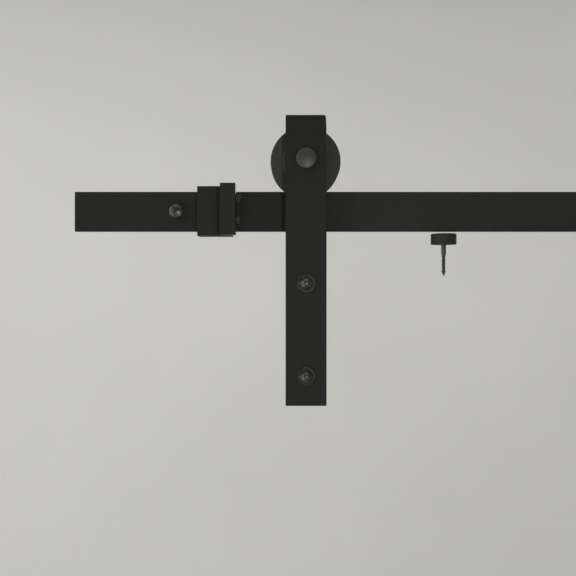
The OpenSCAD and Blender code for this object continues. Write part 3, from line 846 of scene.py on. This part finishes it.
def build_disc(side):
    """Disc with a countersunk hole for its screw."""
    low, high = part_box(f"{side}_anti_jump_disc")
    mid = (low + high) / 2
    height, outer = high.z - low.z, (high.x - low.x) / 2
    bore, seat, seat_top = 2.7 * MM, 4.95 * MM, height - 0.8 * MM
    section = [(bore, 0), (outer, 0), (outer, height), (seat, height), (seat, seat_top),
               (bore, height - 2.79 * MM)]
    rings = soften(section, [0.1 * MM, 0.6 * MM, 0.9 * MM, 0.2 * MM, 0.1 * MM, 0.2 * MM])
    piece = spun(f"{side}_jump_guard_disc", rings, straight(mid.x, mid.y, low.z), SEGMENTS, loop=True)
    put(piece, f"{side}_hanger", [f"{side}_anti_jump_disc"], LIT_DISC_COAT)


def build_disc_screw(side):
    """Countersunk cross-recess wood screw, pointing down."""
    low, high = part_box(f"{side}_disc_screw")
    x, y, base = (low.x + high.x) / 2, (low.y + high.y) / 2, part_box(f"{side}_anti_jump_disc")[0].z
    head_r, top, tip = (high.x - low.x) / 2, high.z - base, low.z - base
    rings = [(0.05 * MM, top), (head_r - 0.2 * MM, top), (head_r, top - 0.2 * MM)]
    rings += [(DISC_SCREW_R, top - 2.7 * MM), (DISC_SCREW_NECK_R, 0.3 * MM), (DISC_SCREW_R, 0)]
    rings += [(DISC_SCREW_R, -9.8 * MM), (DISC_SCREW_NECK_R, -10 * MM)]
    threads = thread(DISC_SCREW_NECK_R, 0.75 * MM, 2 * MM, 10.2 * MM, -tip - 4 * MM, per_pitch=10, fade=1.2)
    rings += [(ring, -z) for ring, z in threads]
    rings += [(1.7 * MM, tip + 3.8 * MM), (0.8 * MM, tip + 1.6 * MM), (0.1 * MM, tip)]
    body = bmesh.new()
    add_spun(body, rings, straight(x, y, base))
    recess = soften(rectangle(-2.4 * MM, -0.45 * MM, 2.4 * MM, 0.45 * MM), 0.2 * MM, 2)
    cutters = []
    for a in (math.pi / 4, -math.pi / 4):
        cutters.append(bmesh.new())
        place = straight(x, y, base + top - 1.5 * MM) @ Matrix.Rotation(a, 4, "Z")
        add_plate(cutters[-1], [recess], 3 * MM, 0.05 * MM, place, steps=1)
    piece = combined(f"{side}_disc_wood_screw", [body], cutters)
    put(piece, f"{side}_hanger", [f"{side}_disc_screw"], FASTENER)


# ---------------------------------------------------------------- wheels
def build_wheel(side):
    """Turned wheel: raised hub faces with a bearing seat, rounded flanges and a flat-bottomed groove."""
    low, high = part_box(f"{side}_wheel")
    mid = (low + high) / 2
    radius, half = (high.x - low.x) / 2, (high.y - low.y) / 2
    groove_r, groove_half, flange = radius - GROOVE_DEPTH, RAIL_T / 2 + 0.7 * MM, half - 1 * MM
    seat = half - BEARING_SEAT_DEPTH
    shoulder_r, hub_r, groove_mouth = 11.25 * MM, 21.6 * MM, 8.6 * MM
    # Each corner on one side of the groove: its radius and height, and its rounding in mm
    near = [
        (shoulder_r, seat, 0.2), (BEARING_SEAT_R, seat, 0.1), (BEARING_SEAT_R, half, 0.5),
        (hub_r, half, 0.5), (hub_r + 1 * MM, flange, 0.6), (radius, flange, 1.3),
        (radius, groove_mouth, 0.5), (groove_r, groove_half - 0.1 * MM, 0.9),
    ]
    section = near + [(r, -h, e) for r, h, e in reversed(near)]
    rings = soften([(r, h) for r, h, _ in section], [e * MM for _, _, e in section], 5)
    piece = spun(f"{side}_grooved_wheel", rings, along_y(mid.x, mid.y, mid.z), WHEEL_SEGMENTS, loop=True)
    put(piece, f"{side}_wheel_body", [f"{side}_wheel"], WHEEL_COAT[side])


def build_shields(side):
    """Pressed bearing shields with a rolled inner lip."""
    low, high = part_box(f"{side}_bearing_shields")
    axle = centre(f"{side}_wheel")
    # Radius and height of each corner in mm
    section = [(7.62, 0.4), (7.62, 0.12), (8.0, 0), (10.0, 0), (10.6, 0.2),
               (10.6, 0.4), (10.0, 0.2), (8.0, 0.2), (7.82, 0.4)]
    rings = soften([(r * MM, h * MM) for r, h in section], 0.08 * MM, 3)
    places = {"front": along_y(axle.x, low.y, axle.z), "rear": facing_room(axle.x, high.y, axle.z)}
    for end, place in places.items():
        piece = spun(f"{side}_{end}_bearing_shield", rings, place, RING_SEGMENTS, loop=True)
        put(piece, f"{side}_wheel_body", [f"{side}_bearing_shields"], FASTENER)


def build_all():
    """Every piece of the object."""
    build_rail()
    for i in FIXINGS:
        build_standoff(i)
        build_lag(i)
    for side in SIDES:
        build_stop(side)
        build_set_screws(side)
        for level in ("upper", "lower"):
            build_bumper(side, level)
            build_door_bolt(side, level)
        build_strap(side)
        build_axle(side)
        build_axle_washer(side)
        build_axle_nut(side)
        build_bushing(side, "front")
        build_bushing(side, "rear")
        build_disc(side)
        build_disc_screw(side)
        build_wheel(side)
        build_shields(side)
        for node in ("inner_rings", "outer_rings", "bearing_spacer", "bearing_balls"):
            dress(f"{side}_{node}", STEEL[side])
        dress(f"{side}_bearing_cages", BRASS[side])


# ---------------------------------------------------------------- stage, lights and camera
def build_stage():
    """A round pale floor far below the track, curving up into a wall all round."""
    floor_z, middle_r, flat_r, curve_r, wall_h = -3.2, 1.2, 4.5, 3.0, 10.5
    curve_steps = 24
    profile = [(middle_r, 0), (flat_r, 0)]
    for k in range(1, curve_steps + 1):
        a = math.pi / 2 * k / curve_steps
        profile.append((flat_r + curve_r * math.sin(a), curve_r * (1 - math.cos(a))))
    profile.append((flat_r + curve_r, wall_h))
    bm = bmesh.new()
    angles = [TAU * k / SEGMENTS for k in range(SEGMENTS)]
    rows = [[bm.verts.new((r * math.cos(a), r * math.sin(a), floor_z + h)) for a in angles]
            for r, h in profile]
    for low, high in zip(rows, rows[1:]):
        for k in range(SEGMENTS):
            j = (k + 1) % SEGMENTS
            bm.faces.new((high[k], high[j], low[j], low[k]))
    bm.faces.new(rows[0])
    mesh = bpy.data.meshes.new("pale_floor")
    bm.to_mesh(mesh)
    bm.free()
    mesh.shade_smooth()
    floor = bpy.data.objects.new("pale_floor", mesh)
    bpy.context.scene.collection.objects.link(floor)
    mesh.materials.append(backdrop_material())


def soft_light(name, position, target, size, power):
    """A rectangular lamp that the camera doesn't see, aimed at target."""
    light = bpy.data.lights.new(name, "AREA")
    light.shape = "RECTANGLE"
    light.size, light.size_y = size
    light.energy = power
    obj = bpy.data.objects.new(name, light)
    bpy.context.scene.collection.objects.link(obj)
    obj.location = position
    obj.rotation_euler = (Vector(target) - Vector(position)).to_track_quat("-Z", "Y").to_euler()
    obj.visible_camera = False


def build_lights():
    world = bpy.data.worlds.new("pale_room")
    bpy.context.scene.world = world
    world.use_nodes = True
    sky = world.node_tree.nodes["Background"]
    sky.inputs["Color"].default_value = (0.96, 0.97, 0.97, 1)
    sky.inputs["Strength"].default_value = 0.16
    middle = (0, RAIL_MID_Y, 0)
    hanger = (-0.75, RAIL_MID_Y, -0.05)
    soft_light("left_softbox", (-3.1, -0.9, -0.45), hanger, (2.8, 4.6), 92)
    soft_light("upper_front", (-0.9, -1.4, 3.3), (-0.6, RAIL_MID_Y, 0), (5.0, 2.8), 72)
    soft_light("low_front", (-0.6, -2.1, -1.25), hanger, (3.4, 0.7), 12)
    soft_light("near_lamp", (-0.65, -0.76, -0.13), hanger, (0.07, 0.07), 2.2)
    soft_light("backdrop_left", (-2.4, 1.2, 1.0), (-2.9, 7.0, 0.6), (1.6, 2.4), 86)
    soft_light("backdrop_right", (1.8, 1.2, 1.0), (2.0, 7.0, 0.8), (1.6, 2.4), 18)
    soft_light("rear", (0.9, 3.2, 0.9), middle, (3.0, 1.6), 100)


def build_camera():
    data = bpy.data.cameras.new("camera")
    data.sensor_width = SENSOR_MM
    data.lens = LENS_MM
    camera = bpy.data.objects.new("camera", data)
    bpy.context.scene.collection.objects.link(camera)
    camera.location = (RAIL_LOW.x + VIEW_FROM_END, RAIL_FRONT - VIEW_DISTANCE, -VIEW_BELOW)
    camera.rotation_euler = (math.pi / 2, 0, 0)
    bpy.context.scene.camera = camera


bpy.context.scene.view_settings.view_transform = "Standard"
build_camera()
build_all()
build_stage()
build_lights()
